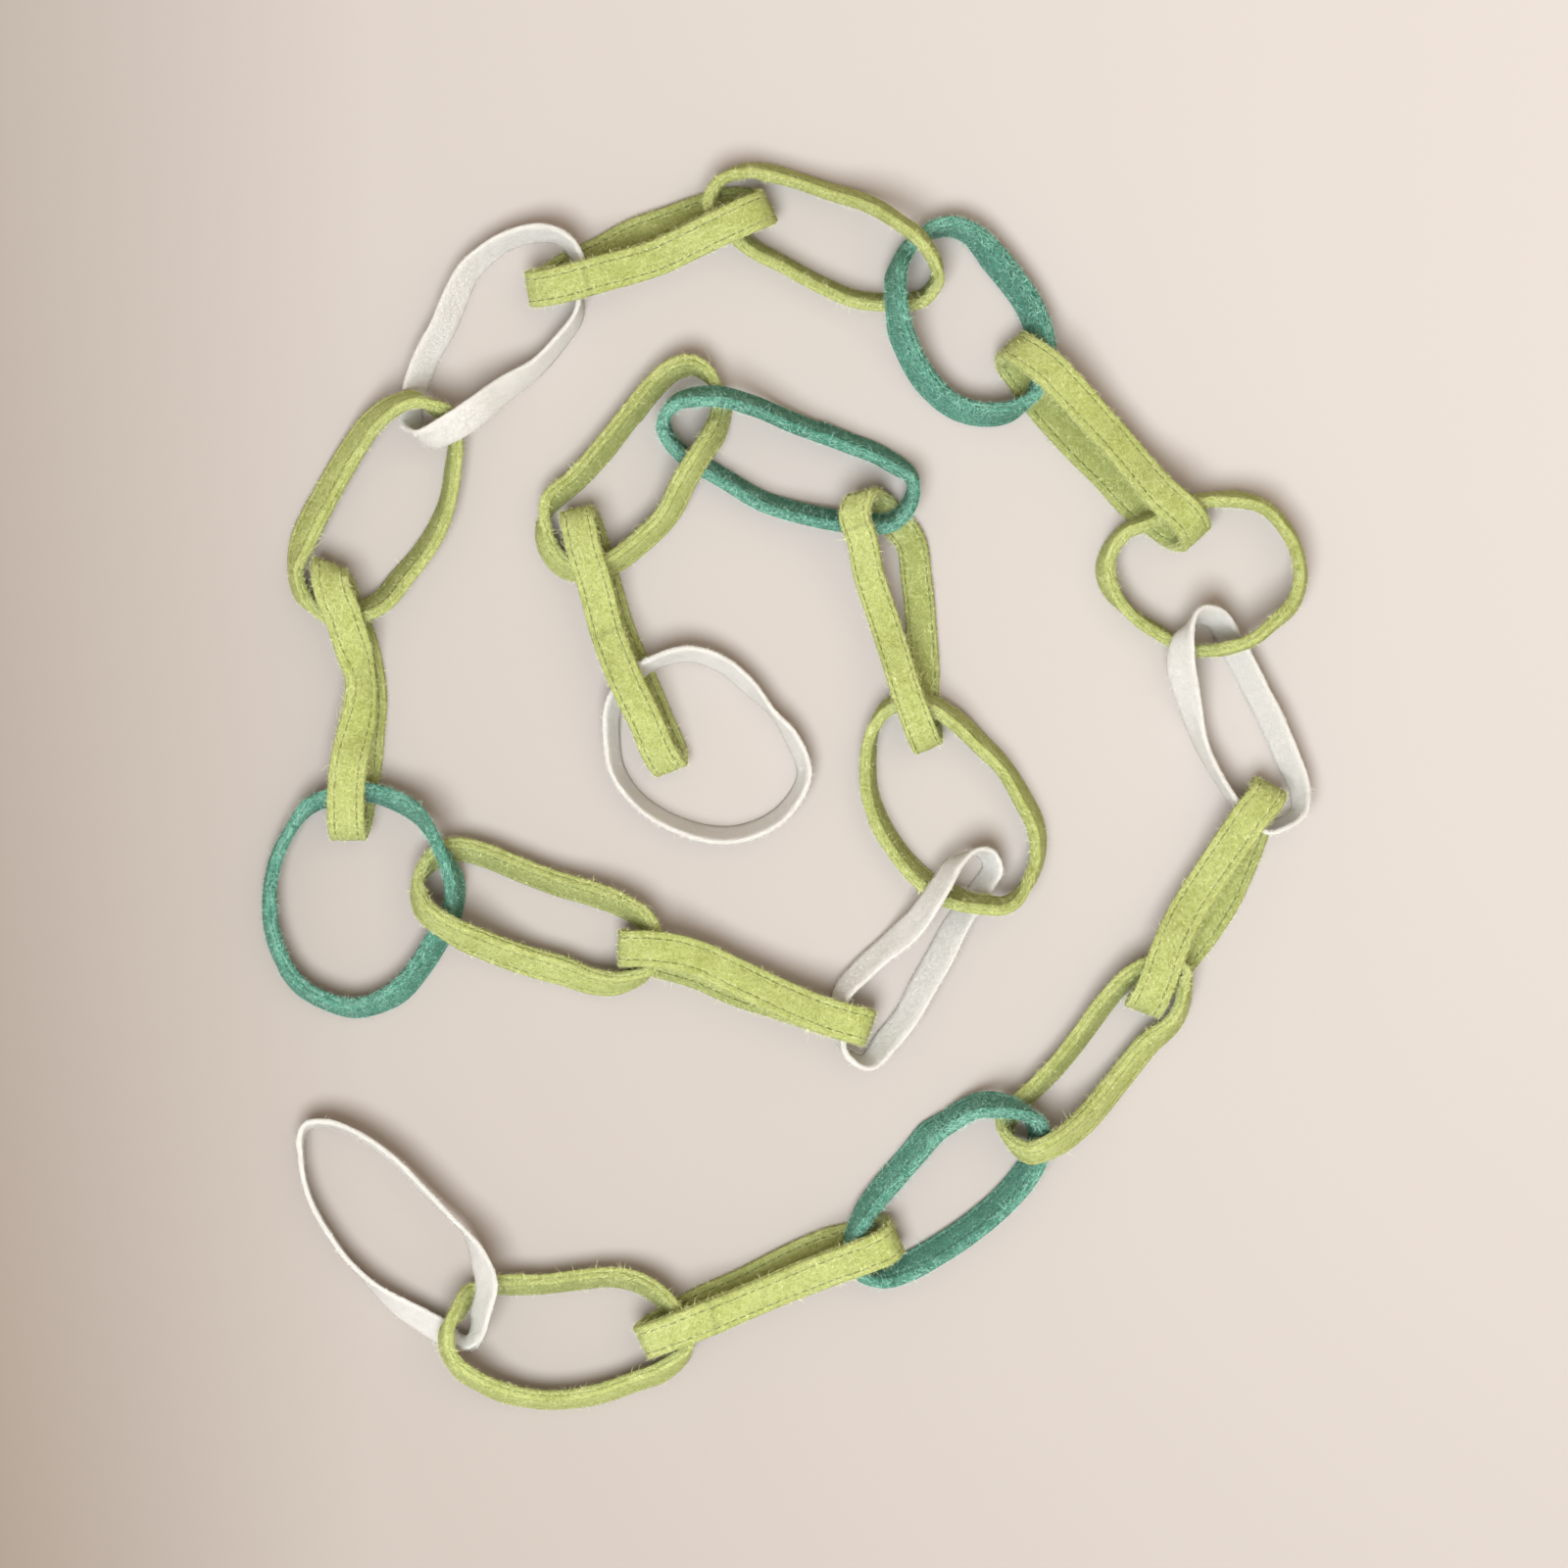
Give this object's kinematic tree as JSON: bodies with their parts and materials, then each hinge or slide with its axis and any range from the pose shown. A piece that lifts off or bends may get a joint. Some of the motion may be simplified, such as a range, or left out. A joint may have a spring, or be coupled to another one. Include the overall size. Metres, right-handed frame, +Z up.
{
  "type": "felt loop chain garland",
  "caption": "Long chain of interlocked felt strip loops in lime green, teal and white, lying coiled in a flat spiral.",
  "frame": {"origin": "middle of the coil's bounding box, at the table the garland lies on", "axes": "+Z up from the table, +X to the right and +Y away in the view from above; the free inner end is left of the middle and the free outer end is at the lower left"},
  "size_m": [0.4296, 0.5118, 0.0316],
  "materials": {
    "green_felt": "matt",
    "teal_felt": "matt",
    "white_felt": "matt"
  },
  "bodies": {
    "root": {"link_01_white": "white_felt", "link_02_green": "green_felt", "link_03_green": "green_felt", "link_04_teal": "teal_felt", "link_05_green": "green_felt", "link_06_green": "green_felt", "link_07_white": "white_felt", "link_08_green": "green_felt", "link_09_green": "green_felt", "link_10_teal": "teal_felt", "link_11_green": "green_felt", "link_12_green": "green_felt", "link_13_white": "white_felt", "link_14_green": "green_felt", "link_15_green": "green_felt", "link_16_teal": "teal_felt", "link_17_green": "green_felt", "link_18_green": "green_felt", "link_19_white": "white_felt", "link_20_green": "green_felt", "link_21_green": "green_felt", "link_22_teal": "teal_felt", "link_23_green": "green_felt", "link_24_green": "green_felt", "link_25_white": "white_felt"}
  },
  "joints": []
}
